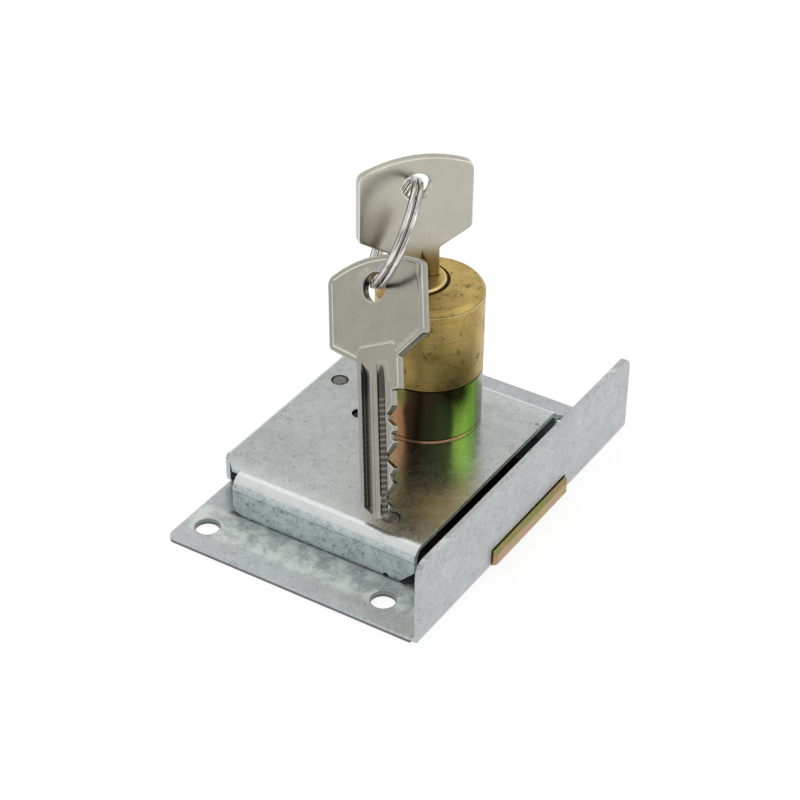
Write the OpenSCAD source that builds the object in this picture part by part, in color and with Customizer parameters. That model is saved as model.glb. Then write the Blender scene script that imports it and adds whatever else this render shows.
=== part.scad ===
// Cabinet lock for letting into a door: a plate with an upright selvedge, a covered case with a sliding
// bolt, and a round pin cylinder that carries a key, with its spare on a split ring.
// X runs to the selvedge, Y along it and Z up the cylinder. The origin is the middle of the four screw
// holes, on the underside of the plate.

/* [Base plate] */
// Width of the plate, from its free edge to the outer face of the selvedge
plate_w = 58; // [56:0.5:64]
// Length of the plate and of the selvedge
plate_l = 82; // [80:0.5:100]
// Thickness of the sheet
plate_t = 1.2; // [0.9:0.1:1.5]
// Height of the selvedge over the underside
selvedge_h = 18.8; // [14:0.2:26]
// Outer radius of the bend
plate_bend = 2; // [1.6:0.1:2.6]
// Rounding of the selvedge's upper corners
selvedge_round = 2.6; // [1:0.2:5]
// Rounding of the plate's free corners
plate_round = 1.4; // [0.5:0.1:3]
// Distance between the screw holes across the plate
screw_gap_x = 41; // [36:0.5:43]
// Distance from the screw holes to the plate's ends
screw_end = 6.5; // [4.5:0.1:7]
// Diameter of the screw holes
screw_d = 5; // [3.5:0.1:5.4]
// Distance from the screw holes to the free edge
screw_edge = 5; // [4.5:0.1:6]

/* [Cover] */
// Length of the cover
cover_l = 56; // [54:0.5:60]
// Height of the cover over the plate
cover_h = 8.55; // [8.3:0.05:10]
// Thickness of the cover's sheet
cover_t = 1; // [0.7:0.1:1.2]
// Gap between the cover's open edge and the outer face of the selvedge
cover_gap = 9.2; // [7:0.2:10.6]
// Outer radius of the cover's long bends
cover_bend = 2.8; // [1.8:0.1:3.2]
// Outer radius of the bend at the cover's closed end
end_bend = 2; // [1.4:0.1:2.6]
// Size of the corner gaps, along the cover's closed end
corner_y = 7; // [5:0.5:9]
// Size of the corner gaps, across it
corner_x = 6.6; // [5:0.2:8]
// Diameter of the assembly hole over the guide stump
peep_d = 3.3; // [2:0.1:4]

/* [Pillars] */
// Diameter of a pillar between plate and cover
pillar_d = 5; // [4:0.2:6]
// Diameter of a pillar's riveted ends
rivet_d = 3.2; // [2.4:0.1:3.6]
// Distance of the near pillar from the middle of the plate
near_pillar_y = 21.5; // [20.5:0.1:22.5]
// Distance of the near pillar from the outer face of the selvedge
near_pillar_x = 18.5; // [17.5:0.1:20]
// Distance of the far pillar from the middle of the plate
far_pillar_y = 12; // [11.6:0.1:14]
// Distance of the far pillar from the plate's free edge
far_pillar_x = 5.6; // [5:0.1:6]

/* [Bolt] */
// Width of the bolt's head
bolt_w = 28.6; // [24:0.2:30]
// Thickness of the bolt
bolt_t = 3.5; // [3:0.1:3.8]
// How far the bolt stands out of the selvedge as it is shown
bolt_out = 1; // [0.4:0.1:1.4]
// Travel of the bolt for a quarter turn of the key
bolt_throw = 4.5; // [3:0.1:5]
// Width of the bolt's tail
tail_w = 17.4; // [16:0.2:18.5]
// Distance from the outer face of the selvedge to the end of the tail
tail_reach = 52; // [49:0.5:52.5]
// Distance from the outer face of the selvedge to the head's shoulders
head_l = 28.5; // [26:0.5:29.5]
// Play of the bolt in its slot, on each side
bolt_play = 0.35; // [0.2:0.05:0.6]
// Diameter of the guide stump
stump_d = 3; // [2.4:0.1:3.2]
// Distance of the guide stump from the plug's axis, away from the selvedge
stump_back = 7.8; // [7.4:0.1:8.6]
// Distance of the guide stump from the plug's axis, along the plate
stump_side = 8.2; // [7.8:0.1:9]

/* [Cylinder] */
// Diameter of the cylinder
cyl_d = 22; // [21:0.1:24]
// Height of the cylinder over the cover
cyl_h = 30.85; // [29:0.25:34]
// Height of the steel collar at the cylinder's foot
collar_h = 12.45; // [9:0.25:13]
// Wall of the collar
collar_t = 0.6; // [0.4:0.05:0.8]
// Distance from the outer face of the selvedge to the cylinder's axis
backset = 31.2; // [30.6:0.1:32]
// Distance of the cylinder from the middle of the plate
cyl_y = 12.4; // [12:0.1:13]
// Size of the chamfer round the top
cyl_chamfer = 0.8; // [0.3:0.1:1.2]

/* [Plug] */
// Diameter of the plug
plug_d = 12.4; // [12:0.1:13]
// Distance of the plug's axis from the cylinder's axis
plug_offset = 3.4; // [3:0.1:3.6]
// How far the plug stands proud of the cylinder
plug_proud = 0.6; // [0.2:0.1:1]
// Width of the ring gap round the plug's face
rim_gap = 0.65; // [0.3:0.05:0.9]
// Diameter of the plug's tail
tail_d = 8.4; // [7.6:0.1:8.6]
// Radial clearance of the turning plug
run_gap = 0.05; // [0.03:0.01:0.08]

/* [Keys] */
// Angle of the key's width to the X axis as it is shown, a turn of this much from where it goes in
key_turned = 50; // [30:1:60]
// Thickness of the key
key_t = 2.1; // [1.8:0.1:2.3]
// Width of the bow
bow_w = 23.4; // [21:0.2:24]
// Height of the bow's straight sides
bow_side = 14; // [12:0.2:15]
// Rise of the bow's sloping shoulders
bow_slope = 3.7; // [3:0.1:4.5]
// Rise of the arch on the bow
bow_arch = 2.7; // [1.5:0.1:3.5]
// Width of the neck
neck_w = 10.2; // [9:0.1:11]
// Height from the stop to the foot of the bow
stop_h = 6.4; // [5.8:0.1:8]
// Diameter of the hole for the ring
bow_hole = 5.8; // [5.4:0.1:6.4]
// Height of the hole over the foot of the bow
bow_hole_h = 14.3; // [13.8:0.1:14.8]
// Width of the raised rim
rim_w = 0.9; // [0.6:0.1:1.3]
// Height of the raised rim
rim_h = 0.25; // [0.15:0.05:0.4]
// Height of the blade
blade_h = 8.4; // [8:0.1:8.6]
// Length of the blade from stop to tip
blade_l = 24.4; // [24:0.1:25]
// Distance between the cuts
cut_pitch = 3.9; // [3.6:0.05:3.95]
// Distance from the stop to the first cut
first_cut = 5; // [4.6:0.1:5.2]
// Depth of one step of the cuts
cut_step = 0.5; // [0.4:0.05:0.6]

/* [Pins] */
// Diameter of the pins
pin_d = 2.8; // [2.4:0.1:3]
// Length of a driver pin
driver_l = 2.6; // [2:0.1:3]
// Wire of the pin springs
spring_wire = 0.32; // [0.26:0.02:0.34]

/* [Split ring] */
// Mean diameter of the ring
ring_d = 22.4; // [22.2:0.05:22.6]
// Wire of the ring
ring_wire = 1.2; // [1:0.05:1.25]
// Gap between its two turns
ring_gap = 0.42; // [0.41:0.01:0.45]

/* [Hidden] */
$fn = 64;
eps = 0.01;
// Radial clearance of parts that are fixed together
fit = 0.03;
// Clearance between faces that slide
slide = 0.05;

// Plate
edge_x = -screw_gap_x / 2 - screw_edge;
face_x = edge_x + plate_w;
cover_z = plate_t + cover_h;
roof_z = cover_z - cover_t;
cover_x = face_x - cover_gap;
half_cover = cover_l / 2;

// Bolt
bolt_z = plate_t + slide;
bolt_top = bolt_z + bolt_t;
bolt_end = face_x + bolt_out;
quarter = 90;
out_travel = bolt_throw * key_turned / quarter;
in_travel = bolt_throw - out_travel;
crank_r = bolt_throw / (2 * sin(quarter / 2));
crank_angle = quarter / 2 + key_turned;
stud_r = 1.25;
stud_play = 0.3;
stump_tenon = 1.1;
end_play = 0.2;

// Leaf spring on the bolt, with its foot beside the near pillar
leaf_t = 0.4;
leaf_w = 5;
leaf_rivet_r = 1;
leaf_head_r = 1.8;
leaf_foot = [face_x - near_pillar_x - 6.5, 5.6 - half_cover];

// Cylinder and plug
cyl_x = face_x - backset;
cyl_r = cyl_d / 2;
spigot_r = cyl_r - collar_t - slide;
cyl_top = cover_z + cyl_h;
collar_top = cover_z + collar_h;
plug_x = cyl_x - plug_offset;
plug_r = plug_d / 2;
plug_bore = plug_r + run_gap;
plug_top = cyl_top + plug_proud;
plug_foot = cover_z + 0.1;
stump_pos = [plug_x - stump_back, cyl_y - stump_side];

// Cam under the cover
cam_gap = 0.25;
cam_z = bolt_top + cam_gap;
cam_web = 1;
socket_z = cam_z + cam_web;
cam_r = tail_d / 2 + 1.7;
hub_r = tail_d / 2 + 1;
cam_disc = 2;
hub_top = roof_z - 0.1;
flat_w = 5.6;
cam_screw_r = 1;
cam_head_r = 1.75;
cam_screw_l = 6;
driver_slot = [0.5, 0.4];

// Screws of the cylinder
foot_r = 7.8;
foot_angle = 60;
foot_screw_r = 1.25;
foot_head_r = 2.25;
foot_head_h = 1.25;
foot_screw_l = 5;

// Key
key_shift = 0.5;
blade_back = 5;
blade_front = blade_h - blade_back;
key_z = plug_top + stop_h;
key_gap = 0.12;
cuts = [3, 1, 4, 2, 5];
cut_flat = 0.9;
flute_depth = 0.6;
flute_runout = 7;
wide_flute = [-4.1, 1.5];
narrow_flute = [-0.2, 1];

// Pins
pin_r = pin_d / 2;
chamber_r = pin_r + run_gap;
pin_nose = 0.9;
driver_x = plug_bore + 0.08;
chamber_end = 12.4;
spring_r = chamber_r - 0.25 - spring_wire / 2;
spring_turns = 3.5;
spring_space = 0.08;

// Split ring and the spare key on it: the ring hangs in the hole of the key in the lock, the spare on it
key_at = [plug_x - key_shift * cos(key_turned), cyl_y - key_shift * sin(key_turned), key_z];
ring_hang = [-0.1702, -0.3839, -0.8156];
ring_at = key_at + [0, 0, bow_hole_h] + ring_hang * ring_d / 2;
ring_tilt = [0, 67.55, 210.3];
ring_spin = 26.2;
spare_hang = [0.073, -0.6476, -0.7559];
spare_hole = ring_at + spare_hang * ring_d / 2;
spare_tilt = [-32.44, -33.56, -15.83];

// Outlines with rounded corners: each point is [x, y, radius]
function unit(v) = v / norm(v);
function corner(a, b, c, r, n) = let(
    u = unit(a - b),
    v = unit(c - b),
    half = acos(u * v) / 2,
    p = b + u * r / tan(half),
    q = b + v * r / tan(half),
    m = b + unit(u + v) * r / sin(half),
    from = atan2(p[1] - m[1], p[0] - m[0]),
    to = atan2(q[1] - m[1], q[0] - m[0]),
    sweep = (to - from + 540) % 360 - 180
) r < eps ? [b] : [for (k = [0:n]) m + r * [cos(from + sweep * k / n), sin(from + sweep * k / n)]];
function flat(p) = [p[0], p[1]];
function rounded(pts, n = 6) = let(count = len(pts)) [for (i = [0:count - 1])
    each corner(flat(pts[(i + count - 1) % count]), flat(pts[i]), flat(pts[(i + 1) % count]), pts[i][2], n)];

// Sheet bent down along its edge: a wall with its outer face at 0 and its top at h, seen from the end
module bent_edge(h, r, t, length) {
    linear_extrude(length) {
        translate([-t, 0]) square([t, h - r]);
        translate([-r, h - r]) intersection() {
            difference() {
                circle(r);
                circle(r - t);
            }
            square(r);
        }
    }
}

// A profile drawn in X and Z, extruded along Y from y0 to y1
module along_y(y0, y1) {
    translate([0, y1, 0]) rotate([90, 0, 0]) linear_extrude(y1 - y0) children();
}

// A profile drawn in Y and Z, extruded along X from x0 to x1
module along_x(x0, x1) {
    translate([x0, 0, 0]) rotate([90, 0, 90]) linear_extrude(x1 - x0) children();
}

// Things placed at the screw holes of the plate
module at_screws() {
    for (x = [-1, 1], y = [-1, 1]) translate([x * screw_gap_x / 2, y * (plate_l / 2 - screw_end), 0])
        children();
}

module at_near_pillar() {
    translate([face_x - near_pillar_x, -near_pillar_y, 0]) children();
}

module at_far_pillar() {
    translate([edge_x + far_pillar_x, far_pillar_y, 0]) children();
}

module base_plate() {
    slot_y = bolt_w / 2 + bolt_play;
    slot_low = bolt_z - 0.15;
    slot_high = bolt_top + bolt_play;
    color("#b9bcbc") difference() {
        union() {
            linear_extrude(plate_t) polygon(rounded([
                [edge_x, -plate_l / 2, plate_round],
                [face_x - plate_bend, -plate_l / 2, 0],
                [face_x - plate_bend, plate_l / 2, 0],
                [edge_x, plate_l / 2, plate_round]]));
            intersection() {
                translate([face_x, plate_l / 2, selvedge_h]) rotate([90, 0, 0]) mirror([0, 1, 0])
                    bent_edge(selvedge_h, plate_bend, plate_t, plate_l);
                along_x(face_x - plate_bend, face_x) polygon(rounded([
                    [-plate_l / 2, 0, 1],
                    [plate_l / 2, 0, 1],
                    [plate_l / 2, selvedge_h, selvedge_round],
                    [-plate_l / 2, selvedge_h, selvedge_round]]));
            }
        }
        at_screws() translate([0, 0, -1]) cylinder(h = plate_t + 2, d = screw_d);
        at_near_pillar() translate([0, 0, -1]) cylinder(h = plate_t + 2, d = rivet_d + 2 * fit);
        at_far_pillar() translate([0, 0, -1]) cylinder(h = plate_t + 2, d = rivet_d + 2 * fit);
        translate([stump_pos[0], stump_pos[1], -1]) cylinder(h = plate_t + 2, r = stump_tenon + fit);
        translate([leaf_foot[0], leaf_foot[1], -1]) cylinder(h = plate_t + 2, r = leaf_rivet_r + fit);
        translate([face_x - plate_bend, -slot_y, slot_low])
            cube([plate_bend + 1, 2 * slot_y, slot_high - slot_low]);
    }
}

module case_cover() {
    side_top = half_cover - cover_bend;
    end_top = edge_x + end_bend;
    wall_x = edge_x + corner_x;
    wall_y = half_cover - corner_y;
    toe_r = 2.4;
    toe_cut = 3.2;
    nick_r = 0.6;
    punch_at = [cover_x - 0.9, half_cover - 7.3];
    punch_r = 0.45;
    color("#c2c4c3") difference() {
        union() {
            translate([0, 0, roof_z]) linear_extrude(cover_t) polygon([
                [cover_x, -side_top], [cover_x, side_top],
                [end_top + corner_x * 0.4, side_top], [end_top, side_top - corner_y * 0.4],
                [end_top, -side_top + corner_y * 0.4], [end_top + corner_x * 0.4, -side_top]]);
            for (side = [0, 1]) mirror([0, side, 0]) intersection() {
                translate([wall_x, -half_cover, plate_t]) mirror([0, 1, 0]) rotate([90, 0, 90])
                    bent_edge(cover_h, cover_bend, cover_t, cover_x - wall_x);
                along_y(-half_cover - 1, -half_cover + cover_bend + 1) polygon(rounded([
                    [wall_x, plate_t, toe_r],
                    [cover_x - toe_cut, plate_t, 0.4],
                    [cover_x, plate_t + toe_cut, 0.4],
                    [cover_x, cover_z + 1, 0],
                    [wall_x, cover_z + 1, 0]]));
            }
            intersection() {
                translate([edge_x, wall_y, plate_t]) mirror([1, 0, 0]) rotate([90, 0, 0])
                    bent_edge(cover_h, end_bend, cover_t, 2 * wall_y);
                along_x(edge_x - 1, edge_x + end_bend + 1) polygon(rounded([
                    [-wall_y, plate_t, toe_r],
                    [wall_y, plate_t, toe_r],
                    [wall_y, cover_z + 1, 0],
                    [-wall_y, cover_z + 1, 0]]));
            }
        }
        translate([plug_x, cyl_y, roof_z - 1]) cylinder(h = cover_t + 2, r = tail_d / 2 + 0.4);
        at_foot_screws() translate([0, 0, roof_z - 1]) cylinder(h = cover_t + 2, r = foot_screw_r + 0.15);
        at_near_pillar() translate([0, 0, roof_z - 1]) cylinder(h = cover_t + 2, d = rivet_d + 0.3);
        at_far_pillar() translate([0, 0, roof_z - 1]) cylinder(h = cover_t + 2, d = rivet_d + 0.3);
        translate([stump_pos[0], stump_pos[1], roof_z - 1]) cylinder(h = cover_t + 2, d = peep_d);
        translate([punch_at[0], punch_at[1], cover_z - punch_r])
            cylinder(h = 2 * punch_r, r1 = punch_r / 2, r2 = 1.5 * punch_r);
        for (side = [-1, 1]) translate([cover_x - 2 * toe_cut, side * half_cover, plate_t])
            rotate([90, 0, 0]) cylinder(h = 4 * cover_t, r = nick_r, center = true);
    }
}

// A pillar with riveted ends that finish flush with plate and cover
module pillar() {
    tenon = rivet_d / 2;
    relief = 0.25;
    color("#c9c6b8") rotate_extrude() polygon([
        [0, 0], [tenon, 0], [tenon, plate_t], [pillar_d / 2, plate_t], [pillar_d / 2, roof_z],
        [tenon, roof_z], [tenon, cover_z - relief], [tenon - relief, cover_z], [0, cover_z]]);
}

module near_pillar() {
    at_near_pillar() pillar();
}

module far_pillar() {
    at_far_pillar() pillar();
}

// Axis and stud of the cam, as the plug stands
function stud_pos() = [plug_x + crank_r * cos(crank_angle), cyl_y + crank_r * sin(crank_angle)];

module bolt() {
    stud = stud_pos();
    slot_half = stud_r + stud_play;
    slot_near = cyl_y + crank_r * sin(quarter / 2) - slot_half;
    slot_far = cyl_y + crank_r + slot_half;
    head_x = face_x - head_l;
    tail_x = face_x - tail_reach;
    tail_shift = 0.25;
    tail_near = -tail_w / 2 - tail_shift;
    tail_far = tail_near + tail_w;
    ear_wall = 2.6;
    guide_half = stump_d / 2 + 0.15;
    nose = 0.7;
    color("#c7b48c") difference() {
        intersection() {
            translate([0, 0, bolt_z]) linear_extrude(bolt_t) polygon(rounded([
                [tail_x, tail_near, 1.5],
                [head_x, tail_near, 1],
                [head_x, -bolt_w / 2, 1],
                [bolt_end, -bolt_w / 2, 0.8],
                [bolt_end, bolt_w / 2, 0.8],
                [head_x + 1, bolt_w / 2, 1],
                [head_x + 1, slot_far + ear_wall, 1.5],
                [stud[0] - slot_half - ear_wall, slot_far + ear_wall, 1.5],
                [stud[0] - slot_half - ear_wall, tail_far, 1],
                [tail_x, tail_far, 1.5]]));
            along_y(-plate_l / 2, plate_l / 2) polygon([
                [tail_x - 1, bolt_z - 1], [bolt_end - nose, bolt_z - 1], [bolt_end - nose, bolt_z],
                [bolt_end, bolt_z + nose / 2], [bolt_end, bolt_top - nose],
                [bolt_end - nose, bolt_top], [bolt_end - nose, bolt_top + 1], [tail_x - 1, bolt_top + 1]]);
        }
        translate([stud[0] - slot_half, slot_near, bolt_z - 1])
            cube([2 * slot_half, slot_far - slot_near, bolt_t + 2]);
        translate([stump_pos[0], stump_pos[1], bolt_z - 1]) {
            for (x = [-out_travel - end_play, in_travel + end_play]) translate([x, 0, 0])
                cylinder(h = bolt_t + 2, r = guide_half);
            translate([-out_travel - end_play, -guide_half, 0])
                cube([bolt_throw + 2 * end_play, 2 * guide_half, bolt_t + 2]);
        }
    }
}

module guide_stump() {
    head = stump_d / 2 + 0.9;
    neck_top = bolt_top + 0.15;
    color("#c9c6b8") translate([stump_pos[0], stump_pos[1], 0]) rotate_extrude() polygon([
        [0, 0], [stump_tenon, 0], [stump_tenon, plate_t], [stump_d / 2, plate_t], [stump_d / 2, neck_top],
        [head, neck_top], [head, neck_top + 0.5], [head - 0.4, neck_top + 0.8], [0, neck_top + 0.8]]);
}

// Strip of sheet along a folded line in Y and Z
module strip(line, t) {
    for (i = [0:len(line) - 2]) let(a = line[i], b = line[i + 1], d = b - a) {
        translate(a) rotate(atan2(d[1], d[0])) translate([0, -t / 2]) square([norm(d), t]);
        if (i > 0) translate(a) circle(d = t, $fn = 24);
    }
}

module bolt_spring() {
    low = plate_t + leaf_t / 2;
    rest = bolt_top + slide + leaf_t / 2;
    side = -bolt_w / 2;
    rise_end = side - 3 * leaf_t;
    crest = rest + 1.5 * leaf_t;
    color("#8f9499") difference() {
        along_x(leaf_foot[0] - leaf_w / 2, leaf_foot[0] + leaf_w / 2) strip([
            [leaf_foot[1] - leaf_w / 2, low], [side - leaf_w, low], [rise_end, crest],
            [rise_end + 2 * leaf_t, crest], [side + leaf_w, rest], [side + 1.6 * leaf_w, crest]], leaf_t);
        translate([leaf_foot[0], leaf_foot[1], 0]) cylinder(h = plate_t + 2 * leaf_t, r = leaf_rivet_r + fit);
    }
}

module spring_rivet() {
    head_z = plate_t + leaf_t;
    color("#c9c6b8") translate([leaf_foot[0], leaf_foot[1], 0]) rotate_extrude() polygon([
        [0, 0], [leaf_rivet_r, 0], [leaf_rivet_r, head_z], [leaf_head_r, head_z], [leaf_head_r, head_z + 0.3],
        [leaf_head_r - 0.6, head_z + 0.8], [0, head_z + 0.8]]);
}

// Round tail with two flats, for the socket of the cam
module flatted(r, w) {
    intersection() {
        circle(r);
        square([3 * r, w], center = true);
    }
}

module drive_cam() {
    stud = stud_pos();
    color("#b5a27a") difference() {
        union() {
            translate([plug_x, cyl_y, cam_z]) cylinder(h = cam_disc, r = cam_r);
            translate([plug_x, cyl_y, cam_z]) cylinder(h = hub_top - cam_z, r = hub_r);
            translate([stud[0], stud[1], bolt_z + 0.3]) cylinder(h = cam_z - bolt_z, r = stud_r);
        }
        translate([plug_x, cyl_y, socket_z]) rotate(key_turned) linear_extrude(hub_top)
            flatted(tail_d / 2 + fit, flat_w + 2 * fit);
        translate([plug_x, cyl_y, cam_z - 1]) cylinder(h = cam_web + 2, r = cam_screw_r + 0.1);
        translate([plug_x, cyl_y, cam_z - eps])
            cylinder(h = cam_head_r - cam_screw_r + eps, r1 = cam_head_r + fit, r2 = cam_screw_r + fit);
    }
}

module cam_screw() {
    cone = cam_head_r - cam_screw_r;
    color("#9a9da0") difference() {
        translate([plug_x, cyl_y, cam_z + 0.02]) rotate_extrude() polygon([
            [0, 0], [cam_head_r, 0], [cam_screw_r, cone], [cam_screw_r, cam_screw_l], [0, cam_screw_l]]);
        translate([plug_x, cyl_y, cam_z])
            cube([3 * cam_head_r, driver_slot[0], 2 * driver_slot[1]], center = true);
    }
}

// Frame of a key that stands in the plug: X along its width, Z up, origin at the foot of the bow
module at_key() {
    translate(key_at) rotate([0, 0, key_turned]) children();
}

// Height of a cut, and how far its root lies from the middle of the neck
function cut_z(i) = -stop_h - first_cut - i * cut_pitch;
function cut_root(i) = blade_front - cuts[i] * cut_step;

// Milled groove along the blade: at is its edge, w its width
module flute(at, w, grow = 0) {
    face = -key_t / 2;
    translate([at + grow, face - 1, -stop_h - blade_l - 1]) cube([w - 2 * grow, 1 + flute_depth - grow,
        blade_l + 3]);
    translate([at + grow, face - flute_runout + flute_depth - grow, -stop_h + 2]) rotate([0, 90, 0])
        cylinder(h = w - 2 * grow, r = flute_runout);
}

module plug() {
    slot_h = blade_h + 2 * key_gap;
    color("#b79a4b") difference() {
        union() {
            translate([plug_x, cyl_y, 0]) rotate_extrude() polygon([
                [0, hub_top], [tail_d / 2, hub_top], [tail_d / 2, plug_foot],
                [plug_r, plug_foot], [plug_r, plug_top - 0.35], [plug_r - 0.35, plug_top], [0, plug_top]]);
            translate([plug_x, cyl_y, socket_z + 0.05]) rotate(key_turned)
                linear_extrude(hub_top - socket_z) flatted(tail_d / 2, flat_w);
        }
        translate([plug_x, cyl_y, socket_z - 1]) cylinder(h = cam_screw_l + 1.5, r = cam_screw_r + 0.02);
        at_key() difference() {
            translate([-blade_back - key_gap, -key_t / 2 - key_gap, -stop_h - blade_l - 1])
                cube([slot_h, key_t + 2 * key_gap, blade_l + 3]);
            intersection() {
                flute(wide_flute[0], wide_flute[1], 0.15);
                translate([-blade_h, -key_t, -stop_h - blade_l - 2])
                    cube([2 * blade_h, 2 * key_t, blade_l + 2]);
            }
        }
        for (i = [0:4]) at_key() translate([key_shift, 0, cut_z(i)]) rotate([0, 90, 0])
            cylinder(h = plug_r + 1, r = chamber_r);
    }
}

module at_foot_screws() {
    for (side = [-1, 1]) translate([cyl_x + foot_r * cos(foot_angle), cyl_y + side * foot_r * sin(foot_angle),
        0]) children();
}

// Outer form of the brass body, less its bore
module body_form() {
    step = cyl_chamfer / 2;
    translate([cyl_x, cyl_y, 0]) rotate_extrude() polygon([
        [0, cover_z], [spigot_r, cover_z], [spigot_r, collar_top], [cyl_r, collar_top],
        [cyl_r, cyl_top - cyl_chamfer - 0.25], [cyl_r - step / 2, cyl_top - cyl_chamfer],
        [cyl_r - step / 2, cyl_top - cyl_chamfer + 0.1], [cyl_r - cyl_chamfer, cyl_top], [0, cyl_top]]);
}

// Things placed on the axis of each chamber, with Z along it, away from the plug
module at_chambers() {
    for (i = [0:4]) translate([plug_x, cyl_y, key_z + cut_z(i)]) rotate([0, 90, 0]) children();
}

module cylinder_body() {
    color("#b3974d") difference() {
        body_form();
        translate([plug_x, cyl_y, cover_z - 1]) cylinder(h = cyl_h + 2, r = plug_bore);
        translate([plug_x, cyl_y, cyl_top - 0.9]) cylinder(h = 2, r = plug_bore + rim_gap);
        at_chambers() cylinder(h = cyl_d, r = chamber_r);
        at_foot_screws() translate([0, 0, cover_z - 1])
            cylinder(h = foot_screw_l + 1.3, r = foot_screw_r + 0.02);
    }
}

module cylinder_collar() {
    color("#8f8a55") translate([cyl_x, cyl_y, 0]) rotate_extrude() polygon([
        [cyl_r - collar_t, cover_z], [cyl_r, cover_z], [cyl_r, collar_top - 0.15],
        [cyl_r - 0.12, collar_top - slide], [cyl_r - collar_t, collar_top - slide]]);
}

module cylinder_screws() {
    color("#9a9da0") at_foot_screws() difference() {
        translate([0, 0, roof_z - foot_head_h]) rotate_extrude() polygon([
            [0, 0], [foot_head_r - 0.5, 0], [foot_head_r, 0.5], [foot_head_r, foot_head_h],
            [foot_screw_r, foot_head_h], [foot_screw_r, foot_head_h + cover_t + foot_screw_l],
            [0, foot_head_h + cover_t + foot_screw_l]]);
        translate([0, 0, roof_z - foot_head_h])
            cube([3 * foot_head_r, driver_slot[0], 2 * driver_slot[1]], center = true);
    }
}

module chamber_caps() {
    color("#a98c45") intersection() {
        body_form();
        at_chambers() translate([0, 0, chamber_end]) cylinder(h = cyl_d, r = chamber_r - 0.02);
    }
}

// A key pin: its nose stands in the cut and its round end follows the bore
module key_pin(i) {
    nose = cut_root(i) - key_shift + 0.06;
    top = plug_r - 0.12;
    color("#c7a857") at_key() translate([key_shift, 0, cut_z(i)]) rotate([0, 90, 0]) rotate_extrude() polygon([
        [0, nose], [0.35, nose], [pin_r, nose + pin_nose], [pin_r, top - 0.35], [pin_r - 0.5, top], [0, top]]);
}

module driver_pins() {
    color("#c7a857") at_chambers() translate([0, 0, driver_x]) rotate_extrude() polygon([
        [0, 0], [pin_r - 0.2, 0], [pin_r, 0.2], [pin_r, driver_l - 0.2], [pin_r - 0.2, driver_l], [0, driver_l]]);
}

// Tube through a row of centres: out and along are the two directions of its section at each
function tube_points(path, out, along, r, sides) = [for (i = [0:len(path) - 1], k = [0:sides - 1])
    path[i] + r * (cos(360 * k / sides) * out[i] + sin(360 * k / sides) * along[i])];
function tube_faces(rings, sides) = let(last = (rings - 1) * sides) [
    for (k = [1:sides - 2]) [0, k + 1, k],
    for (k = [1:sides - 2]) [last, last + k, last + k + 1],
    for (i = [0:rings - 2], k = [0:sides - 1]) let(
        a = i * sides + k, b = i * sides + (k + 1) % sides) each [[a, b, b + sides], [a, b + sides, a + sides]]];

// Least gap between two turns of a tube, from points that lie more than half a turn apart
function tube_gap(path, turn, wire) = min([for (i = [0:len(path) - 1], j = [i + turn / 2 + 1:1:len(path) - 1])
    norm(path[i] - path[j])]) - wire;

spring_rings = 8;
spring_l = chamber_end - driver_x - driver_l - 2 * spring_space - spring_wire;
spring_count = spring_turns * spring_rings;
spring_path = [for (i = [0:spring_count]) let(a = 360 * i / spring_rings)
    [spring_r * cos(a), spring_r * sin(a), spring_l * i / spring_count]];

module pin_springs() {
    radial = [for (i = [0:spring_count]) [cos(360 * i / spring_rings), sin(360 * i / spring_rings), 0]];
    axial = [for (i = [0:spring_count]) [0, 0, 1]];
    color("#8f9499") at_chambers() translate([0, 0, driver_x + driver_l + spring_space + spring_wire / 2])
        polyhedron(tube_points(spring_path, radial, axial, spring_wire / 2, 6),
            tube_faces(len(spring_path), 6));
}

// Outline of the bow and neck, drawn in by e
module bow_outline(e) {
    half = bow_w / 2;
    arch_r = (half * half + bow_arch * bow_arch) / (2 * bow_arch);
    arch_y = bow_slope + bow_side + bow_arch - arch_r;
    side = half - e;
    span = asin(side / (arch_r - e));
    steps = 8;
    polygon(rounded([
        [-neck_w / 2 + e * 0.4, e, 0.6 * e],
        [neck_w / 2 - e * 0.4, e, 0.6 * e],
        [side, bow_slope + e * 0.85, 1.2],
        each [for (k = [0:steps]) let(a = span - 2 * span * k / steps)
            [(arch_r - e) * sin(a), arch_y + (arch_r - e) * cos(a), k == 0 || k == steps ? 2 - e : 0]],
        [-side, bow_slope + e * 0.85, 1.2]]));
}

// Outline of the blade with its cuts and its pointed tip
module blade_outline() {
    tip = -stop_h - blade_l;
    difference() {
        polygon([
            [-blade_back, 0], [-blade_back, tip + 3.2], [-0.9, tip], [0.2, tip],
            [blade_front, tip + 3], [blade_front, 0]]);
        for (i = [0:4]) let(z = cut_z(i), root = cut_root(i), up = cuts[i] * cut_step + 1)
            polygon([[root, z - cut_flat / 2], [root + up, z - cut_flat / 2 - up],
                [root + up, z + cut_flat / 2 + up], [root, z + cut_flat / 2]]);
    }
}

module key_plate(t) {
    translate([0, t / 2, 0]) rotate([90, 0, 0]) linear_extrude(t) children();
}

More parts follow.
